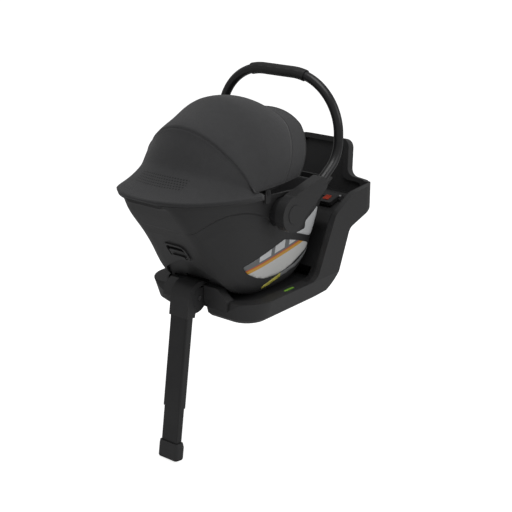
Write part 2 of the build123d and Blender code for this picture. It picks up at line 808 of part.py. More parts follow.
with BuildPart() as rear_bow:
    extrude(arch_band("ridge", cloth + 6, 3), amount=5, both=True)
with BuildPart() as middle_bow:
    extrude(arch_band("valley", 175 - bow_x, 3), amount=5, both=True)
with BuildPart() as front_bow:
    extrude(arch_band("visor", 168 - bow_x + 3, 3), amount=5, both=True)
    for flank in (1, -1):
        with BuildSketch(side_plane(flank * (bow_x - 6))):
            with BuildLine():
                Polyline(
                    (canopy_pivot_y, canopy_pivot_z - 5), (-36, 336), (-36, 346),
                    (canopy_pivot_y, canopy_pivot_z + 5), close=True,
                )
            make_face()
            with Locations((canopy_pivot_y, canopy_pivot_z)):
                Circle(8)
                Circle(3.05, mode=Mode.SUBTRACT)
        extrude(amount=flank * 6)
    add(middle_bow.part, mode=Mode.SUBTRACT)
save(rear_bow, "canopy_rear_bow")
save(middle_bow, "canopy_middle_bow")
save(front_bow, "canopy_front_bow")

for name, flank in (("left", 1), ("right", -1)):
    with BuildPart() as tab:
        with BuildSketch(side_plane(flank * 164)):
            with BuildLine():
                FilletPolyline(
                    (canopy_pivot_y - 10, 300), (canopy_pivot_y + 10, 300), (canopy_pivot_y + 10, 334),
                    (canopy_pivot_y - 10, 334), radius=[4, 4, 8, 8], close=True,
                )
            make_face()
            with Locations((canopy_pivot_y, canopy_pivot_z)):
                Circle(3, mode=Mode.SUBTRACT)
        extrude(amount=flank * 14)
        add(tub(-trim_thickness, 30), mode=Mode.SUBTRACT)
    with BuildPart() as rivet:
        with BuildSketch(side_plane(flank * 156)):
            with Locations((canopy_pivot_y, canopy_pivot_z)):
                Circle(3)
        extrude(amount=flank * 22)
        with BuildSketch(side_plane(flank * 178)):
            with Locations((canopy_pivot_y, canopy_pivot_z)):
                Circle(6)
        extrude(amount=flank * 1.6)
    save(tab, f"canopy_tab_{name}")
    save(rivet, f"canopy_rivet_{name}")

# Soft lining of the tub, and the bolster round the head
with BuildPart() as seat_pad:
    add(tub(shell_wall + 1.5, 30) - tub(shell_wall + 1.5 + pad_thickness, 30))
    with BuildSketch(rim_plane.offset(-6)):
        Rectangle(900, 1800)
    extrude(amount=-400, mode=Mode.INTERSECT)
    add(front_notch(5.5), mode=Mode.SUBTRACT)
    add(latch_grooves(5.5), mode=Mode.SUBTRACT)
    with BuildSketch(release_plane.offset(-8)):
        RectangleRounded(bezel_size[0] + 4, bezel_size[1] + 4, 18)
    extrude(amount=30, mode=Mode.SUBTRACT)
with BuildPart() as head_bolster:
    with Locations((0, -335, 244)):
        Box(400, 130, 130)
    add(tub(pad_face + 1.5, 30), mode=Mode.INTERSECT)
    add(tub(pad_face + 20, 30), mode=Mode.SUBTRACT)
save(seat_pad, "seat_pad")
save(head_bolster, "head_bolster")

# Harness: webbing ribbons bent in side view, the buckle with its button, and the adjuster lever
strap_route = [(-264, 158), (-232, 116), (-190, 91), (-153.5, 80.2)]
crotch_route = [(-60, 70.5), (-78, 73), (-97, 84.5)]
tail_route = [(2, 93), (-14, 84), (-40, 79)]


def webbing(route, bend, x, width):
    """A ribbon of webbing that follows a route in side view."""
    with BuildPart() as ribbon:
        with BuildSketch(side_plane(x)):
            with BuildLine():
                FilletPolyline(*route, radius=bend)
            trace(line_width=2)
        extrude(amount=width / 2, both=True)
    return ribbon.part


with BuildPart() as harness_straps:
    for x in (-32, 32):
        add(webbing(strap_route, 60, x, 34))
    add(webbing(tail_route, 20, 0, 28))
with BuildPart() as crotch_strap:
    add(webbing(crotch_route, 20, 0, 34))
with BuildPart() as buckle:
    with BuildSketch(Plane.XY.offset(75.5)):
        with Locations((0, -116)):
            RectangleRounded(50, 52, 10)
        with Locations((0, -144)):
            RectangleRounded(106, 15, 5)
    extrude(amount=20)
    fillet(buckle.faces().sort_by(Axis.Z)[-1].edges(), 3)
    with Locations((-32, -150, 78), (32, -150, 78)):
        Box(36, 15, 4, mode=Mode.SUBTRACT)
    with Locations((0, -90, 81)):
        Box(36, 20, 14, mode=Mode.SUBTRACT)
    with BuildSketch(Plane.XY.offset(100)):
        with Locations((0, -115)):
            RectangleRounded(24.6, 26.6, 5)
    extrude(amount=-10, mode=Mode.SUBTRACT)
with BuildPart() as buckle_button:
    with BuildSketch(Plane.XY.offset(93.5)):
        with Locations((0, -115)):
            RectangleRounded(24, 26, 5)
    extrude(amount=3)
    fillet(buckle_button.faces().sort_by(Axis.Z)[-1].edges(), 1)

adjuster_plane = Plane(origin=(0, 14, 99), x_dir=(1, 0, 0), z_dir=(0, -0.6, 0.8))
with BuildPart() as harness_adjuster:
    with BuildSketch(adjuster_plane.offset(1)):
        RectangleRounded(40, 24, 6)
    extrude(amount=6)
    fillet(harness_adjuster.faces().sort_by(Axis((0, 14, 99), (0, -0.6, 0.8)))[-1].edges(), 2)

save(harness_straps, "harness_straps")
save(crotch_strap, "crotch_strap")
save(buckle, "buckle")
save(buckle_button, "buckle_button")
save(harness_adjuster, "harness_adjuster")
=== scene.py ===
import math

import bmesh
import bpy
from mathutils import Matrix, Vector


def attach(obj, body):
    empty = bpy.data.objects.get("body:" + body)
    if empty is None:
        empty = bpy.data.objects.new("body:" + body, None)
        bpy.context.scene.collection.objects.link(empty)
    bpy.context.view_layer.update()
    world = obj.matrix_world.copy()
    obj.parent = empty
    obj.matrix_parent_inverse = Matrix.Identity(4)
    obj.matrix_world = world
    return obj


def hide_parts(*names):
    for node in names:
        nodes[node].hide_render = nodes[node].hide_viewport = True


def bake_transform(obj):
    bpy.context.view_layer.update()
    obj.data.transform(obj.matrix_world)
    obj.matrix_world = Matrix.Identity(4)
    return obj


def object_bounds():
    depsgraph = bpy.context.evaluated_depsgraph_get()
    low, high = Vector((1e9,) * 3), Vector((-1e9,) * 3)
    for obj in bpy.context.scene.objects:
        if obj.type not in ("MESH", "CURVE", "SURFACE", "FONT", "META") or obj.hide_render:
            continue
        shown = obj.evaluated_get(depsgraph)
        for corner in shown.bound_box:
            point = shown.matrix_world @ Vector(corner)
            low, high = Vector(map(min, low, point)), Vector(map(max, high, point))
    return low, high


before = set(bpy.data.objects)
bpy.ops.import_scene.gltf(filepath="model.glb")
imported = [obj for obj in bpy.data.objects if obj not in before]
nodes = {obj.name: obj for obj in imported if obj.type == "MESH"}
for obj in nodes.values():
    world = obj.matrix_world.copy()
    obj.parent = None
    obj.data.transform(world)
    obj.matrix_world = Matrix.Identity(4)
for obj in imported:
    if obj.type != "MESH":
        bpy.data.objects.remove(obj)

# %% [markdown]
# # An infant car seat on its base
# The imported model is loaded above, one object to each piece of the seat, in metres. Rigid pieces keep their
# shapes and get finishes here. Soft pieces (canopy, lining, bolster, webbing) are made again as cloth and
# padding, because the real ones are sewn. The box of the model is kept; the floor is set under it, and it is
# printed at the end.

cad_low, cad_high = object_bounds()
print("pieces loaded:", len(nodes))

# %% [markdown]
# ## Camera
# The photograph looks down on the head end from the seat's left, with a long lens. Place, aim and lens were
# fitted so that the outline of the finished solids meets the photograph's, which is closer than a guess by
# eye.


# %% Camera
def add_object(name, data):
    thing = bpy.data.objects.new(name, data)
    bpy.context.scene.collection.objects.link(thing)
    return thing


camera_data = bpy.data.cameras.new("camera")
camera = add_object("camera", camera_data)
bpy.context.scene.camera = camera
camera_data.lens = 81.86
camera_data.sensor_width = 36
camera.location = (1.8765, -2.3211, 1.1097)
towards_camera = Vector((0.5949, -0.7344, 0.3266))
camera.rotation_mode = "QUATERNION"
camera.rotation_quaternion = (-towards_camera).to_track_quat("-Z", "Y")
camera_data.clip_end = 200
bpy.context.scene.view_settings.view_transform = "Standard"
print("camera at", tuple(camera.location))

# %% [markdown]
# ## Floor and sky
# A studio sweep is a sheet of white paper that runs up behind the object. Here it is one large plane, with a
# plain sky behind it. A Light Path node tells what the camera sees directly from what only lights the seat.
# Both look white that way, and still throw only a part of that light on the black plastic.

# %% Floor and sky
floor_width = 100
floor_gap = 0.0005
floor_glow = 0.85
sky_light = 0.31
sky_seen = 1.06


def clear_selection():
    """Operators act on all that is selected, so everything is let go first."""
    for thing in bpy.context.selected_objects:
        thing.select_set(False)
    bpy.context.view_layer.objects.active = None


clear_selection()
bpy.ops.mesh.primitive_plane_add(size=floor_width, location=(0, 0, cad_low.z - floor_gap))
floor = bpy.context.active_object
floor.name = "floor"
floor_paint = bpy.data.materials.new("floor_paint")
floor_paint.use_nodes = True
floor_shader = floor_paint.node_tree.nodes["Principled BSDF"]
floor_shader.inputs["Base Color"].default_value = (0.80, 0.80, 0.80, 1)
floor_shader.inputs["Roughness"].default_value = 0.9
floor_shader.inputs["Emission Strength"].default_value = floor_glow
floor_rays = floor_paint.node_tree.nodes.new("ShaderNodeLightPath")
floor_paint.node_tree.links.new(floor_rays.outputs["Is Camera Ray"], floor_shader.inputs["Emission Color"])
floor.data.materials.append(floor_paint)

world = bpy.context.scene.world or bpy.data.worlds.new("studio")
bpy.context.scene.world = world
world.use_nodes = True
sky = world.node_tree.nodes["Background"]
sky.inputs["Color"].default_value = (1, 1, 1, 1)
sky_level = world.node_tree.nodes.new("ShaderNodeMath")
sky_level.operation = "MULTIPLY_ADD"
sky_level.inputs[1].default_value = sky_seen - sky_light
sky_level.inputs[2].default_value = sky_light
sky_rays = world.node_tree.nodes.new("ShaderNodeLightPath")
world.node_tree.links.new(sky_rays.outputs["Is Camera Ray"], sky_level.inputs[0])
world.node_tree.links.new(sky_level.outputs[0], sky.inputs["Strength"])
print("floor at", round(floor.location.z, 4))

# %% [markdown]
# ## Lights
# Black plastic shows its form by reflections, so the lights are two large discs, one above the seat and one
# beside it. Small lamps would leave hard spots on the tubes.

# %% Lights
light_target = Vector((0, -0.1, 0.2))


def soft_light(name, place, size, watts):
    lamp = bpy.data.lights.new(name, "AREA")
    lamp.shape = "DISK"
    lamp.size = size
    lamp.energy = watts
    holder = add_object(name, lamp)
    holder.location = place
    holder.rotation_mode = "QUATERNION"
    holder.rotation_quaternion = (light_target - Vector(place)).to_track_quat("-Z", "Y")


soft_light("top_light", (0.5, -0.4, 2.6), 1.8, 21)
soft_light("side_light", (2.2, 0.6, 1.3), 1.4, 8)
print("studio ready")

# %% [markdown]
# ## Shader sums in plain Python
# Finishes below are written as sums on values. A small class holds a node's output, and adding, multiplying
# or comparing two of them adds a Math node, so that a formula for a weave reads like the formula itself.


# %% The value class
class Value:
    def __init__(self, tree, socket):
        self.tree = tree
        self.socket = socket

    def _math(self, operation, *others):
        node = self.tree.nodes.new("ShaderNodeMath")
        node.operation = operation
        for place, item in enumerate((self,) + others):
            if isinstance(item, Value):
                self.tree.links.new(item.socket, node.inputs[place])
            else:
                node.inputs[place].default_value = item
        return Value(self.tree, node.outputs[0])

    def _first(self, number):
        node = self.tree.nodes.new("ShaderNodeMath")
        node.operation = "ADD"
        node.inputs[0].default_value = number
        node.inputs[1].default_value = 0
        return Value(self.tree, node.outputs[0])

    def __add__(self, other):
        return self._math("ADD", other)

    def __sub__(self, other):
        return self._math("SUBTRACT", other)

    def __rsub__(self, other):
        return self._first(other)._math("SUBTRACT", self)

    def __mul__(self, other):
        return self._math("MULTIPLY", other)

    def __truediv__(self, other):
        return self._math("DIVIDE", other)

    def __lt__(self, other):
        return self._math("LESS_THAN", other)

    def __gt__(self, other):
        return self._math("GREATER_THAN", other)

    def sine(self):
        return self._math("SINE")

    def whole(self):
        return self._math("FLOOR")

    def part(self):
        return self._math("FRACT")

    def size(self):
        return self._math("ABSOLUTE")

    def least(self, other):
        return self._math("MINIMUM", other)

    def most(self, other):
        return self._math("MAXIMUM", other)

    def root(self):
        return self._math("SQRT")

    def between(self, low, high):
        """0 below low, 1 above high, straight between."""
        node = self.tree.nodes.new("ShaderNodeMapRange")
        node.clamp = True
        self.tree.links.new(self.socket, node.inputs["Value"])
        node.inputs["From Min"].default_value = low
        node.inputs["From Max"].default_value = high
        return Value(self.tree, node.outputs["Result"])


print("value class ready")

# %% [markdown]
# ## A finish under work
# A finish on the real seat is colour, gloss and relief together. This class holds a material's nodes and
# gives places, noise and cells as values, so that each finish below is a few lines. Places are those of the
# object itself, or a sewn piece's own map, so that a finish stays with its piece when the piece moves.


# %% The finish class
class Finish:
    """A material under work: its node tree, its shader and a few ready values."""

    def __init__(self, name, **settings):
        self.material = bpy.data.materials.new(name)
        self.material.use_nodes = True
        self.tree = self.material.node_tree
        self.shader = self.tree.nodes["Principled BSDF"]
        for socket, number in settings.items():
            self.shader.inputs[socket.replace("_", " ")].default_value = number

    def node(self, kind, settings=None, **links):
        made = self.tree.nodes.new(kind)
        for key, item in (settings or {}).items():
            setattr(made, key, item)
        for key, item in links.items():
            socket = made.inputs[key.replace("_", " ")]
            if isinstance(item, Value):
                self.tree.links.new(item.socket, socket)
            else:
                socket.default_value = item
        return made

    def place(self):
        """X, Y and Z of the surface point, in metres."""
        coordinates = self.node("ShaderNodeTexCoord")
        return self.split(Value(self.tree, coordinates.outputs["Object"]))

    def sheet_place(self):
        """Across and along a sewn piece, in metres, from its own map."""
        coordinates = self.node("ShaderNodeTexCoord")
        return self.split(Value(self.tree, coordinates.outputs["UV"]))[:2]

    def split(self, vector):
        parts = self.node("ShaderNodeSeparateXYZ", Vector=vector)
        return [Value(self.tree, parts.outputs[n]) for n in ("X", "Y", "Z")]

    def noise(self, scale, detail=2.0):
        coordinates = self.node("ShaderNodeTexCoord")
        spot = Value(self.tree, coordinates.outputs["Object"])
        made = self.node("ShaderNodeTexNoise", Vector=spot, Scale=scale, Detail=detail)
        return Value(self.tree, made.outputs[0])

    def cells(self, scale):
        coordinates = self.node("ShaderNodeTexCoord")
        spot = Value(self.tree, coordinates.outputs["Object"])
        made = self.node("ShaderNodeTexVoronoi", Vector=spot, Scale=scale)
        return Value(self.tree, made.outputs["Distance"])

    def mix(self, share, first, second):
        """A colour between two others."""
        made = self.node("ShaderNodeMix", {"data_type": "RGBA"})
        self.tree.links.new(share.socket, made.inputs[0])
        for place, colour in ((6, first), (7, second)):
            if isinstance(colour, Value):
                self.tree.links.new(colour.socket, made.inputs[place])
            else:
                made.inputs[place].default_value = (*colour, 1)
        return Value(self.tree, made.outputs[2])

    def shades(self, share, colour, low, high):
        """A colour between a darker and a lighter shade of one colour."""
        return self.mix(share, tuple(c * low for c in colour), tuple(c * high for c in colour))

    def colour(self, value):
        self.tree.links.new(value.socket, self.shader.inputs["Base Color"])

    def roughness(self, value):
        self.tree.links.new(value.socket, self.shader.inputs["Roughness"])

    def bump(self, height, strength, distance):
        made = self.node("ShaderNodeBump", Height=height, Strength=strength, Distance=distance)
        self.tree.links.new(made.outputs["Normal"], self.shader.inputs["Normal"])


print("finish class ready")

# %% [markdown]
# ## Moulded plastic
# Base, leg and shell are moulded in black plastic with a fine spark-eroded grain. The grain is a few tenths
# of a millimetre across, so it shows as a soft sheen more than as bumps. A slow drift in colour and gloss
# keeps large surfaces from looking painted. The shell has an arched step on each flank, and is drawn in below
# it; that is a soft form, so it is made in the finish as relief.


# %% Plastic finishes
def grained(name, colour, gloss, grain):
    finish = Finish(name, Roughness=gloss)
    drift = finish.noise(9)
    fine = finish.noise(grain, 3)
    finish.colour(finish.shades((drift * 0.7 + fine * 0.3).between(0.3, 0.7), colour, 0.86, 1))
    finish.roughness(drift * 0.10 + fine * 0.12 + (gloss - 0.11))
    return finish, fine


def moulded_plastic(name, colour, gloss, grain=1400):
    finish, fine = grained(name, colour, gloss, grain)
    finish.bump(fine, 0.35, 0.00025)
    return finish.material


crease_top = (-0.283, 0.291)
crease_height = 0.0016
crease_hollow = 0.0042


def creased_plastic(name, colour, gloss, grain):
    finish, fine = grained(name, colour, gloss, grain)
    x, y, z = finish.place()
    beside = y - crease_top[0]
    above = z - crease_top[1] + beside * beside * ((beside < 0) * 4.0 + 2.33)
    near = (y + 0.40).between(0, 0.07) * (1 - (y + 0.13).between(0, 0.05))
    step = above.between(-0.003, 0.001)
    drawn_in = (above + 0.045).between(0, 0.043) * (1 - step)
    finish.bump((step * crease_height - drawn_in * crease_hollow) * near + fine * 0.00009, 1.0, 1.0)
    return finish.material


base_plastic = moulded_plastic("base_plastic", (0.036, 0.036, 0.037), 0.52)
liner_plastic = moulded_plastic("liner_plastic", (0.022, 0.022, 0.023), 0.56)
shell_plastic = moulded_plastic("shell_plastic", (0.034, 0.034, 0.035), 0.55, 1700)
flank_plastic = creased_plastic("flank_plastic", (0.034, 0.034, 0.035), 0.55, 1700)
dark_plastic = moulded_plastic("dark_plastic", (0.016, 0.016, 0.017), 0.48)
hub_plastic = moulded_plastic("hub_plastic", (0.03, 0.03, 0.031), 0.45)
print("plastics ready")

# %% [markdown]
# ## Metal, rubber and grip
# Tubes carry a satin black coat with a slight orange peel. Pins and latches are zinc plated steel, drawn
# along their length. The grip is a sleeve of soft grained sheet with a row of stitches along its seam.


# %% Tube, steel, rubber, grip
def satin_coat(name):
    finish = Finish(name, Roughness=0.34, Coat_Roughness=0.3)
    peel = finish.noise(420, 2)
    drift = finish.noise(14)
    finish.colour(finish.mix(drift.between(0.3, 0.7), (0.013, 0.013, 0.014), (0.02, 0.02, 0.021)))
    finish.roughness(peel * 0.08 + drift * 0.06 + 0.27)
    finish.bump(peel, 0.2, 0.0002)
    return finish.material


def plated_steel(name):
    finish = Finish(name, Metallic=1.0, Roughness=0.3)
    x, y, z = finish.place()
    drawn = finish.noise(60, 4)
    streaks = ((x + z) * 2600 + drawn * 9).sine()
    finish.colour(finish.mix(streaks.between(-1, 1), (0.42, 0.42, 0.43), (0.6, 0.6, 0.61)))
    finish.roughness(streaks * 0.05 + 0.3)
    return finish.material


def soft_rubber(name):
    finish = Finish(name, Roughness=0.8)
    grain = finish.noise(900, 3)
    finish.colour(finish.mix(grain.between(0.3, 0.7), (0.012, 0.012, 0.012), (0.026, 0.026, 0.026)))
    finish.roughness(grain * 0.15 + 0.68)
    finish.bump(grain, 0.4, 0.0003)
    return finish.material


seam_y = 0.0745
stitch_y = 0.0770


def grip_sleeve(name):
    finish = Finish(name, Roughness=0.5)
    x, y, z = finish.place()
    pebble = finish.cells(520)
    seam = 1 - (y - seam_y).size().between(0.0006, 0.0012)
    stitch = ((x * 210).sine() > 0.1) * (1 - (y - stitch_y).size().between(0.0005, 0.0009))
    finish.colour(finish.mix(stitch.most(seam * 0.4), (0.017, 0.017, 0.017), (0.036, 0.036, 0.036)))
    finish.roughness(pebble * 0.2 + 0.42)
    finish.bump(pebble + stitch * 0.8 - seam * 0.6, 0.45, 0.0005)
    return finish.material


satin_tube = satin_coat("satin_tube")
steel = plated_steel("plated_steel")
rubber = soft_rubber("soft_rubber")
grip_skin = grip_sleeve("grip_sleeve")
print("metal, rubber and grip ready")

# %% [markdown]
# ## Coloured windows, marker and buttons
# The level windows are green under a clear lens with a pale bubble line; the belt marker is blue, and the
# release buttons are red. Each window gets a lighter middle, as light scatters in a thick clear moulding.


# %% Windows and buttons
def lens(name, edge, middle, centre_x, half_width):
    finish = Finish(name, Roughness=0.15, Coat_Weight=0.5)
    x, y, z = finish.place()
    line = 1 - (x.size() - centre_x).size().between(half_width * 0.35, half_width)
    speck = finish.noise(700)
    finish.colour(finish.mix(line * 0.85 + speck * 0.1, edge, middle))
    finish.roughness(speck * 0.1 + 0.12)
    return finish.material


def lens_bar(name, edge, middle, centre_y):
    finish = Finish(name, Roughness=0.15, Coat_Weight=0.5)
    x, y, z = finish.place()
    line = 1 - (y - centre_y).size().between(0.0008, 0.0026)
    finish.colour(finish.mix(line, edge, middle))
    return finish.material


def dyed_gloss(name, colour):
    finish = Finish(name, Roughness=0.28, Coat_Weight=0.2)
    cloud = finish.noise(180)
    finish.colour(finish.shades(cloud.between(0.3, 0.7), colour, 0.8, 1))
    finish.roughness(cloud * 0.12 + 0.22)
    finish.bump(finish.noise(1500), 0.15, 0.0002)
    return finish.material


green_window = lens("green_window", (0.06, 0.25, 0.02), (0.45, 0.85, 0.12), 0.171, 0.004)
pale_window = lens_bar("pale_window", (0.05, 0.07, 0.02), (0.62, 0.66, 0.30), -0.210)
blue_marker = dyed_gloss("blue_marker", (0.05, 0.22, 0.50))
red_button = dyed_gloss("red_button", (0.50, 0.06, 0.03))
print("windows and buttons ready")

# %% [markdown]
# ## Finishes on the rigid pieces
# Each piece takes the finish of the thing that it is. Its shape stays as it was built.

# %% Dressing the rigid pieces
dress = {
    base_plastic: ["base_shell", "leg_bracket", "lockoff_arm", "leg_elbow", "leg_button", "leg_foot"],
    liner_plastic: ["base_liner"],
    flank_plastic: ["carrier_shell"],
    shell_plastic: ["rim_trim", "belt_guide_left", "belt_guide_right", "release_bezel",
                    "canopy_tab_left", "canopy_tab_right", "buckle", "harness_adjuster"],
    dark_plastic: ["hub_drum_left", "hub_drum_right", "canopy_rear_bow", "canopy_middle_bow",
                   "canopy_front_bow", "canopy_rivet_left", "canopy_rivet_right", "release_lever"],
    hub_plastic: ["handle_bracket_left", "handle_bracket_right", "handle_button_left", "handle_button_right"],
    satin_tube: ["handle_tube", "leg_upper_tube", "leg_lower_tube"],
    steel: ["base_screws", "lockoff_pin", "latch_bar_front", "latch_bar_rear", "leg_hinge_pin",
            "anchor_connector_left", "anchor_connector_right", "hub_pin_left", "hub_pin_right",
            "latch_hook_front", "latch_hook_rear"],
    rubber: ["base_grip_pads", "leg_sole"],
    grip_skin: ["handle_grip"],
    green_window: ["level_windows"],
    pale_window: ["leg_window"],
    blue_marker: ["belt_marker"],
    red_button: ["lockoff_button", "anchor_button_left", "anchor_button_right", "buckle_button"],
}
for finish, names in dress.items():
    for name in names:
        piece = nodes[name]
        piece.data.materials.clear()
        piece.data.materials.append(finish)
print("rigid pieces dressed:", sum(len(names) for names in dress.values()))

# %% [markdown]
# ## Canopy cloth
# The canopy is a plain weave in charcoal, stretched over hoops. Each sewn panel has its own map in metres, so
# the threads run along the panel. The rear panel has five rows of small punched air holes above its hem; they
# are not cut here, but painted near black as painted shade for what is seen through them, and sunk in the
# relief.

# %% Weave
hole_rows = 5
first_row = 0.082
row_pitch = 0.0085
hole_pitch = 0.0075
hole_radius = (0.0018, 0.0025)
rows_reach = 0.078


def woven(name, colour, thread, holes=False):
    finish = Finish(name, Roughness=0.85, Sheen_Weight=0.15, Sheen_Roughness=0.5)
    across, along = finish.sheet_place()
    warp = (across * (math.tau / thread)).sine()
    weft = (along * (math.tau / thread)).sine()
    weave = (warp * weft).between(-1, 1)
    slub = finish.noise(60, 3)
    cloud = finish.noise(5)
    light = weave * 0.45 + slub * 0.3 + cloud * 0.35
    shade = finish.shades(light.between(0.25, 0.85), colour, 0.72, 1.15)
    height = weave + slub * 0.4
    if holes:
        row = (along - first_row) / row_pitch
        column = across / hole_pitch + row.whole() * 0.5
        dot_x = (column.part() - 0.5) * hole_pitch
        dot_y = (row.part() - 0.5) * row_pitch
        dot = 1 - (dot_x * dot_x + dot_y * dot_y).root().between(*hole_radius)
        hole_shade = dot * (row > 0) * (row < hole_rows) * (across.size() < rows_reach)
        # Painted shade: each air hole is a near-black spot for the dark seen through it; the cloth itself is
        # not cut.
        shade = finish.mix(hole_shade, shade, (0.004, 0.004, 0.004))
        height = height - hole_shade * 3
    finish.colour(shade)
    finish.roughness(weave * 0.1 + 0.8)
    finish.bump(height, 0.35, 0.0004)
    return finish.material


canopy_cloth = woven("canopy_cloth", (0.046, 0.046, 0.048), 0.0011)
vented_cloth = woven("vented_cloth", (0.046, 0.046, 0.048), 0.0011, holes=True)
piping_cloth = woven("piping_cloth", (0.036, 0.036, 0.037), 0.0009)
print("canopy cloth ready")

# %% [markdown]
# ## Hoops
# Six hoops lie in leaning planes: the hem round the head, a saddle, the sewn ridge, the crown, the seam above
# the visor and the visor's edge. Each hoop is three arcs through its foot, flank, shoulder and top. They are
# the hoops of the solids, but for the saddle, which no bow holds up: tight cloth lies lower there.


# %% Hoops
def rounded(power):
    return [(share, (1 - share**power) ** (1 / power)) for share in (0.93, 0.66)]


hoops = {
    "hem": ((-192, 325), (-451, 342), 178.5, rounded(2.3)),
    "saddle": ((-206, 334), (-350, 392), 174, rounded(2.0)),
    "ridge": ((-228, 337), (-296, 485), 176, rounded(1.65)),
    "crown": ((-176, 337), (-146, 538), 177, rounded(2.1)),
    "seam": ((-108, 337), (2, 492), 175, rounded(2.2)),
    "visor": ((-40, 338), (60, 479), 168, rounded(2.25)),
}


def arc_through(a, b, c, count):
    """Points on the circle through three points, from a to c."""
    d = 2 * (a[0] * (b[1] - c[1]) + b[0] * (c[1] - a[1]) + c[0] * (a[1] - b[1]))
    a2, b2, c2 = (p[0] ** 2 + p[1] ** 2 for p in (a, b, c))
    cx = (a2 * (b[1] - c[1]) + b2 * (c[1] - a[1]) + c2 * (a[1] - b[1])) / d
    cy = (a2 * (c[0] - b[0]) + b2 * (a[0] - c[0]) + c2 * (b[0] - a[0])) / d
    radius = math.hypot(a[0] - cx, a[1] - cy)
    turn = [math.atan2(p[1] - cy, p[0] - cx) for p in (a, b, c)]
    while turn[1] < turn[0]:
        turn[1] += math.tau
    while turn[2] < turn[1]:
        turn[2] += math.tau
    if turn[2] - turn[0] > math.tau:
        turn = [math.atan2(p[1] - cy, p[0] - cx) for p in (a, b, c)]
        while turn[1] > turn[0]:
            turn[1] -= math.tau
        while turn[2] > turn[1]:
            turn[2] -= math.tau
    steps = [turn[0] + (turn[2] - turn[0]) * i / count for i in range(count + 1)]
    return [(cx + radius * math.cos(t), cy + radius * math.sin(t)) for t in steps]


flank_steps = 18
top_steps = 40


def hoop_points(name, inset=0.0):
    """Points over a hoop from its left foot to its right foot, in metres."""
    (base_y, base_z), (top_y, top_z), half_width, shares = hoops[name]
    width = half_width - inset
    height = math.hypot(top_y - base_y, top_z - base_z) - inset
    lean = ((top_y - base_y) / (height + inset), (top_z - base_z) / (height + inset))
    foot = (width, 0)
    flank, shoulder = ((x * width, y * height) for x, y in shares)
    far = [(-x, y) for x, y in (shoulder, flank, foot)]
    flat = arc_through(foot, flank, shoulder, flank_steps)
    flat += arc_through(shoulder, (0, height), far[0], top_steps)[1:]
    flat += arc_through(*far, flank_steps)[1:]
    return [Vector((x, base_y + lean[0] * h, base_z + lean[1] * h)) / 1000 for x, h in flat]


print("hoops:", len(hoops), "points on each:", len(hoop_points("hem")))

# %% [markdown]
# ## Cloth from rows of points
# A sewn panel is flat cloth bent over its hoops. It could be simulated, but cloth held tight all round only
# follows its hoops, so a panel is a grid of points, thickened inwards, with a map in metres for the weave.

# %% Cloth from rows of points
cloth_thickness = 0.0016
canopy_centre = Vector((0, -0.17, 0.36))


def make_active(piece):
    clear_selection()
    piece.select_set(True)
    bpy.context.view_layer.objects.active = piece


def apply_modifiers(piece):
    make_active(piece)
    for modifier in list(piece.modifiers):
        bpy.ops.object.modifier_apply(modifier=modifier.name)


def cloth_grid(name, rows, finish):
    """A sheet through rows of points, with a map in metres and a thickness inwards."""
    mesh = bpy.data.meshes.new(name)
    work = bmesh.new()
    points = [[work.verts.new(p) for p in row] for row in rows]
    chart = work.loops.layers.uv.new("cloth_map")
    middle = len(rows[0]) // 2
    along = [0.0]
    for i in range(1, len(rows)):
        along.append(along[-1] + (rows[i][middle] - rows[i - 1][middle]).length)
    across = []
    for row in rows:
        run = [0.0]
        for j in range(1, len(row)):
            run.append(run[-1] + (row[j] - row[j - 1]).length)
        across.append([r - run[middle] for r in run])
    place = {}
    for i, row in enumerate(points):
        for j, vert in enumerate(row):
            place[vert] = (across[i][j], along[i])
    for i in range(len(rows) - 1):
        for j in range(len(rows[0]) - 1):
            face = work.faces.new((points[i][j], points[i][j + 1], points[i + 1][j + 1], points[i + 1][j]))
            face.smooth = True
            for loop in face.loops:
                loop[chart].uv = place[loop.vert]
    bmesh.ops.recalc_face_normals(work, faces=work.faces)
    outward = sum((f.normal.dot(f.calc_center_median() - canopy_centre) for f in work.faces))
    if outward < 0:
        bmesh.ops.reverse_faces(work, faces=work.faces)
    area = sum(f.calc_area() for f in work.faces)
    work.to_mesh(mesh)
    work.free()
    piece = add_object(name, mesh)
    piece.data.materials.append(finish)
    solid = piece.modifiers.new("thickness", "SOLIDIFY")
    solid.thickness = cloth_thickness
    solid.offset = -1
    apply_modifiers(piece)
    widest = max(a[-1] - a[0] for a in across)
    print(name, "area", round(area, 4), "m2")
    return piece, area, (widest, max(along[-1], area / widest))


print("cloth tools ready")

# %% [markdown]
# ## Canopy in three panels
# Cloth runs smoothly from hoop to hoop. On both sides of the ridge it is pulled taut, which leaves the ridge
# as a clear edge, and at the rim the hem turns under. The middle panel runs from the ridge on the carrier to
# the seam on the folding hoops, and is attached to neither body.


# %% Rows through the hoops
def through_three(first, second, third, count):
    """Rows of points on smooth curves through three hoops."""
    rows = []
    for k in range(count + 1):
        t = k / count
        share = (2 * (t - 0.5) * (t - 1), 4 * t * (1 - t), 2 * t * (t - 0.5))
        rows.append([a * share[0] + b * share[1] + c * share[2] for a, b, c in zip(first, second, third)])
    return rows


tautness = 0.85


def pull_taut(rows, start, stop):
    """Rows between two hoops are drawn towards straight runs, as tight cloth is."""
    first, last = rows[start], rows[stop]
    for k in range(start + 1, stop):
        t = (k - start) / (stop - start)
        pull = tautness * math.sin(math.pi * t) ** 0.5
        rows[k] = [p.lerp(a.lerp(b, t), pull) for p, a, b in zip(rows[k], first, last)]


hem_foot_y = -0.192
hem_length = 0.259
hem_drop = 0.012
head_end_y = -0.452
head_draw = 0.021
seat_middle = Vector((0, -0.2, 0))


def turned_under(line, share):
    """A line let down and drawn in to the rim, most at the head, as an elastic hem turns under."""
    turned = []
    for p in line:
        depth = (hem_foot_y - p.y) / hem_length
        drawn = seat_middle + (p - seat_middle) * (1 - share**2 * (0.006 + 0.022 * depth))
        y = max(drawn.y, head_end_y + head_draw * share**2)
        turned.append(Vector((drawn.x, y, p.z - hem_drop * share)))
    return turned


print("rows ready")

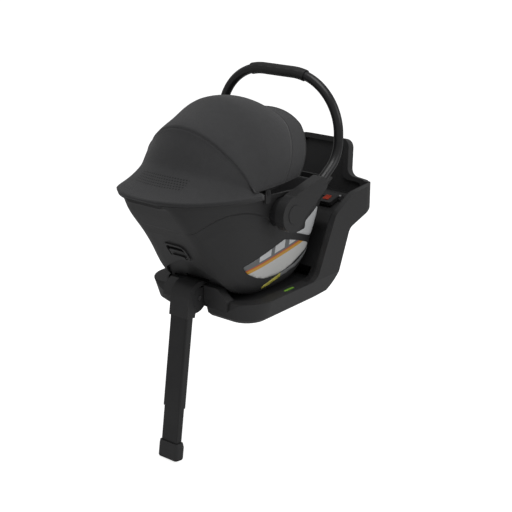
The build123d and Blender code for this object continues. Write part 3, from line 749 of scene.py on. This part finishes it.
# %% Canopy panels
hem_line = hoop_points("hem")
valance_rows = [turned_under(hem_line, share) for share in (1.0, 0.75, 0.5, 0.25)]
rear_rows = through_three(hem_line, hoop_points("saddle"), hoop_points("ridge"), 30)
pull_taut(rear_rows, 15, 30)
rear_rows = valance_rows + rear_rows
canopy_rear, area, flat = cloth_grid("canopy_rear_cloth", rear_rows, vented_cloth)
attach(canopy_rear, "carrier")
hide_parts("canopy_rear_panel")
min(area, flat[0] * flat[1])

middle_rows = through_three(hoop_points("ridge"), hoop_points("crown"), hoop_points("seam"), 30)
pull_taut(middle_rows, 0, 15)
canopy_middle, area, flat = cloth_grid("canopy_middle_cloth", middle_rows, canopy_cloth)
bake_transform(canopy_middle)
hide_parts("canopy_middle_panel")
min(area, flat[0] * flat[1])

seam_line, visor_line = hoop_points("seam"), hoop_points("visor")
visor_rows = [[a.lerp(b, k / 12) for a, b in zip(seam_line, visor_line)] for k in range(13)]
canopy_visor, area, flat = cloth_grid("canopy_visor_cloth", visor_rows, canopy_cloth)
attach(canopy_visor, "canopy")
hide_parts("canopy_visor_panel")
min(area, flat[0] * flat[1])

# %% [markdown]
# ## Piping and hems
# Seams on the canopy are bound with narrow piping, which catches the light as a fine line. A round cord on a
# curve along the hoop, made a mesh, gives it.


# %% Piping
def mesh_of(curve):
    """The mesh that a curve gives. The curve's own object goes again."""
    maker = add_object(curve.name, curve)
    bpy.context.view_layer.update()
    mesh = bpy.data.meshes.new_from_object(maker.evaluated_get(bpy.context.evaluated_depsgraph_get()))
    bpy.data.objects.remove(maker)
    return mesh


def smooth_faces(piece):
    for face in piece.data.polygons:
        face.use_smooth = True


def piping(name, points, radius, body, finish):
    line = bpy.data.curves.new(name + "_line", "CURVE")
    line.dimensions = "3D"
    line.bevel_depth = radius
    line.bevel_resolution = 2
    line.use_fill_caps = True
    spline = line.splines.new("POLY")
    spline.points.add(len(points) - 1)
    for spot, p in zip(spline.points, points):
        spot.co = (*p, 1)
    piece = add_object(name, mesh_of(line))
    piece.data.materials.clear()
    piece.data.materials.append(finish)
    smooth_faces(piece)
    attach(piece, body)


piping("hem_binding", turned_under(hem_line, 0.9), 0.0016, "carrier", piping_cloth)
piping("ridge_piping", hoop_points("ridge", 0.4), 0.0008, "carrier", canopy_cloth)
piping("seam_piping", hoop_points("seam", 0.4), 0.0010, "canopy", piping_cloth)
piping("visor_binding", hoop_points("visor", 0.9), 0.0022, "canopy", piping_cloth)
print("piping sewn on")

# %% [markdown]
# ## Lining and head bolster
# The lining is foam under knitted cloth. Its solid is copied, remeshed to an even skin, eased inwards a
# little and swelled again as cloth with air in it, so that it crowns between its edges as a sewn pad does.


# %% Pads
def knit(name, colour, wale):
    finish = Finish(name, Roughness=0.9, Sheen_Weight=0.2, Sheen_Roughness=0.5)
    x, y, z = finish.place()
    turns = math.tau / wale
    loops = ((x * turns).sine() * ((y + z) * turns).sine()).between(-1, 1)
    cloud = finish.noise(12)
    side_seam = (x.size() - 0.055).size().between(0.0, 0.004)
    middle_seam = (x.size() - 0.002).size().between(0.0, 0.003) + 0.6
    quilt = 1 - side_seam.least(middle_seam)
    light = loops * 0.5 + cloud * 0.5
    finish.colour(finish.shades(light.between(0.2, 0.8), colour, 0.7, 1.2))
    finish.roughness(loops * 0.08 + 0.85)
    finish.bump(loops * 0.25 - quilt * 1.5, 0.4, 0.001)
    return finish.material


pad_knit = knit("pad_knit", (0.040, 0.040, 0.042), 0.0026)
bolster_knit = knit("bolster_knit", (0.055, 0.055, 0.057), 0.0022)
print("knits ready")

# %% Swelling
pad_ease = 0.002
swell_steps = 14
air_pressure = 4


def swelled(node, name, voxel, cap, finish):
    """A pad made from a solid: an even skin, eased in and swelled by at most cap."""
    piece = add_object(name, nodes[node].data.copy())
    piece.data.materials.clear()
    piece.data.materials.append(finish)
    weld = piece.modifiers.new("weld", "WELD")
    weld.merge_threshold = 0.00005
    remesh = piece.modifiers.new("skin", "REMESH")
    remesh.mode = "VOXEL"
    remesh.voxel_size = voxel
    smooth = piece.modifiers.new("smooth", "SMOOTH")
    smooth.factor = 0.5
    smooth.iterations = 6
    inward = piece.modifiers.new("ease", "DISPLACE")
    inward.strength = -pad_ease
    inward.mid_level = 0
    apply_modifiers(piece)
    start = [v.co.copy() for v in piece.data.vertices]
    cloth = piece.modifiers.new("air", "CLOTH")
    cloth.settings.use_pressure = True
    cloth.settings.uniform_pressure_force = air_pressure
    cloth.settings.effector_weights.gravity = 0
    cloth.settings.quality = 4
    cloth.point_cache.frame_start = 1
    cloth.point_cache.frame_end = 20
    for step in range(1, swell_steps + 1):
        bpy.context.scene.frame_set(step)
    apply_modifiers(piece)
    bpy.context.scene.frame_set(1)
    for vert, was in zip(piece.data.vertices, start):
        moved = vert.co - was
        if moved.length > cap:
            vert.co = was + moved * (cap / moved.length)
    smooth_faces(piece)
    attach(piece, "carrier")
    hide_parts(node)
    print(name, "faces", len(piece.data.polygons))


swelled("seat_pad", "seat_lining", 0.005, 0.003, pad_knit)
swelled("head_bolster", "head_bolster_cover", 0.004, 0.005, bolster_knit)

# %% [markdown]
# ## Harness webbing
# Webbing is a flat ribbon with ribbed edges, as thick as the canopy's cloth. It is modelled straight as a
# ribbon, swept along its route with a smooth spline, because a simulation would only blur it.


# %% Webbing
def ribbed(name, colour):
    finish = Finish(name, Roughness=0.75)
    across, along = finish.sheet_place()
    twill = ((across + along) * 2400).sine()
    rib = (across * 1500).sine()
    edge = (across.size() - 0.0135).between(0, 0.001)
    light = twill * 0.3 + rib * 0.2 + 0.5
    finish.colour(finish.shades(light.between(0, 1), colour, 0.7, 1.3))
    finish.roughness(twill * 0.06 + 0.72)
    finish.bump(twill * 0.5 + rib * 0.3 + edge, 0.5, 0.0004)
    return finish.material


webbing_weave = ribbed("webbing_weave", (0.028, 0.028, 0.029))


def ribbon(name, route, x, width, node):
    curve = bpy.data.curves.new(name + "_route", "CURVE")
    curve.dimensions = "3D"
    spline = curve.splines.new("NURBS")
    spline.points.add(len(route) - 1)
    for spot, (y, z) in zip(spline.points, route):
        spot.co = (0, y / 1000, z / 1000, 1)
    spline.order_u = 3
    spline.use_endpoint_u = True
    curve.resolution_u = 12
    line = [v.co.copy() for v in mesh_of(curve).vertices]
    shares = [-1, -0.94, -0.5, 0, 0.5, 0.94, 1]
    rows = [[Vector((x + s * width / 2000, p.y, p.z)) for s in shares] for p in line]
    piece, area, flat = cloth_grid(name, rows, webbing_weave)
    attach(piece, "carrier")
    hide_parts(node)
    min(area, flat[0] * flat[1])


shoulder_route = [(-264, 158), (-232, 116), (-190, 91), (-153.5, 80.2)]
ribbon("shoulder_strap_left", shoulder_route, 0.032, 34, "harness_straps")
ribbon("shoulder_strap_right", shoulder_route, -0.032, 34, "harness_straps")
ribbon("adjuster_tail", [(2, 93), (-14, 84), (-40, 79)], 0.0, 28, "harness_straps")
ribbon("crotch_webbing", [(-60, 70.5), (-78, 73), (-97, 84.5)], 0.0, 34, "crotch_strap")

# %% [markdown]
# ## Plain plates on the flank
# The real seat carries printed plates here. These stay bare of words and signs: a large plate with plain
# colour bands, a small pale plate behind the hub and a narrow strip along the lower edge. Each starts as a
# flat disc whose rim points are moved to the plate's outline. It is sliced into strips, so that it can bend,
# and wrapped on the flank.

# %% Plate maker
start_x = 0.215
plate_lift = 0.0007
plate_thickness = 0.0006
corner_radius = 0.006
slice_width = 7


def plate(name, outline, finish):
    """A thin plate on the left flank. Its outline is in millimetres."""
    clear_selection()
    bpy.ops.mesh.primitive_circle_add(vertices=len(outline), fill_type="NGON")
    piece = bpy.context.active_object
    piece.name = name
    for vert, (y, z) in zip(piece.data.vertices, outline):
        vert.co = (start_x, y / 1000, z / 1000)
    bpy.ops.object.mode_set(mode="EDIT")
    bpy.ops.mesh.select_all(action="SELECT")
    bpy.ops.mesh.bevel(offset=corner_radius, offset_type="OFFSET", segments=4, affect="VERTICES")
    ys, zs = zip(*outline)
    for places, across in ((ys, Vector((0, 1, 0))), (zs, Vector((0, 0, 1)))):
        low, high = min(places), max(places)
        count = max(2, round((high - low) / slice_width))
        for k in range(1, count):
            where = (low + (high - low) * k / count) / 1000
            bpy.ops.mesh.select_all(action="SELECT")
            bpy.ops.mesh.bisect(plane_co=across * where, plane_no=across)
    bpy.ops.object.mode_set(mode="OBJECT")
    wrap = piece.modifiers.new("wrap", "SHRINKWRAP")
    wrap.target = nodes["carrier_shell"]
    wrap.wrap_method = "PROJECT"
    wrap.use_project_x = True
    wrap.use_negative_direction = True
    wrap.use_positive_direction = True
    apply_modifiers(piece)
    for vert in piece.data.vertices:
        vert.co.x += plate_lift
    piece.data.materials.append(finish)
    smooth_faces(piece)
    thick = piece.modifiers.new("thickness", "SOLIDIFY")
    thick.thickness = plate_thickness
    thick.offset = 0
    apply_modifiers(piece)
    make_active(piece)
    bpy.ops.object.mode_set(mode="EDIT")
    bpy.ops.mesh.select_all(action="SELECT")
    bpy.ops.mesh.normals_make_consistent(inside=False)
    bpy.ops.object.mode_set(mode="OBJECT")
    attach(piece, "carrier")
    print(name, "faces", len(piece.data.polygons))


# %% Plate finishes
def banded_plate(name):
    finish = Finish(name, Roughness=0.4)
    x, y, z = finish.place()
    above = z - 0.127 - (y + 0.210) * 0.156
    speck = finish.noise(400)
    band = finish.mix(speck * 0.3, (0.80, 0.80, 0.78), (0.70, 0.70, 0.68))
    band = finish.mix(above > -0.0125, band, (0.80, 0.42, 0.06))
    band = finish.mix(above > -0.0035, band, (0.72, 0.13, 0.03))
    band = finish.mix(above > 0.0, band, (0.20, 0.205, 0.21))
    blank = ((y + 0.150).size() < 0.022).most((y + 0.094).size() < 0.020).most((y + 0.042).size() < 0.014)
    blank = blank * (above > 0.006) * (above < 0.032)
    band = finish.mix(blank, band, (0.78, 0.79, 0.80))
    finish.colour(band)
    finish.roughness(speck * 0.12 + 0.34)
    return finish.material


def pale_plate(name):
    finish = Finish(name, Roughness=0.4)
    speck = finish.noise(300)
    finish.colour(finish.mix(speck * 0.3, (0.80, 0.81, 0.82), (0.62, 0.64, 0.66)))
    finish.roughness(speck * 0.1 + 0.36)
    return finish.material


def level_strip(name):
    finish = Finish(name, Roughness=0.35)
    x, y, z = finish.place()
    speck = finish.noise(350)
    shade = finish.mix(speck * 0.4, (0.27, 0.275, 0.28), (0.20, 0.205, 0.21))
    shade = finish.mix(y < -0.078, shade, (0.66, 0.60, 0.10))
    finish.colour(shade)
    finish.roughness(speck * 0.1 + 0.3)
    return finish.material


band_print = banded_plate("band_print")
pale_print = pale_plate("pale_print")
strip_print = level_strip("strip_print")
print("plate finishes ready")

# %% Plates in place
flank_outline = [(-227, 138), (-78, 178), (-18, 160), (41, 137), (42, 124), (-43, 93), (-93, 84), (-144, 87),
                 (-178, 98), (-209, 116)]
plate("flank_plate", flank_outline, band_print)
hub_outline = [(-31, 184), (10, 186), (6, 207), (61, 236), (72, 205), (62, 160), (44, 156)]
plate("hub_plate", hub_outline, pale_print)
strip_outline = [(-150, 56), (-77, 74), (-10, 84), (57, 112), (54, 122), (-12, 95), (-78, 84), (-150, 66)]
plate("level_strip", strip_outline, strip_print)

# %% [markdown]
# ## Closing
# The model's box is printed.

# %% Sizes and finish
print("model box", [round(v, 4) for v in (*cad_low, *cad_high)])
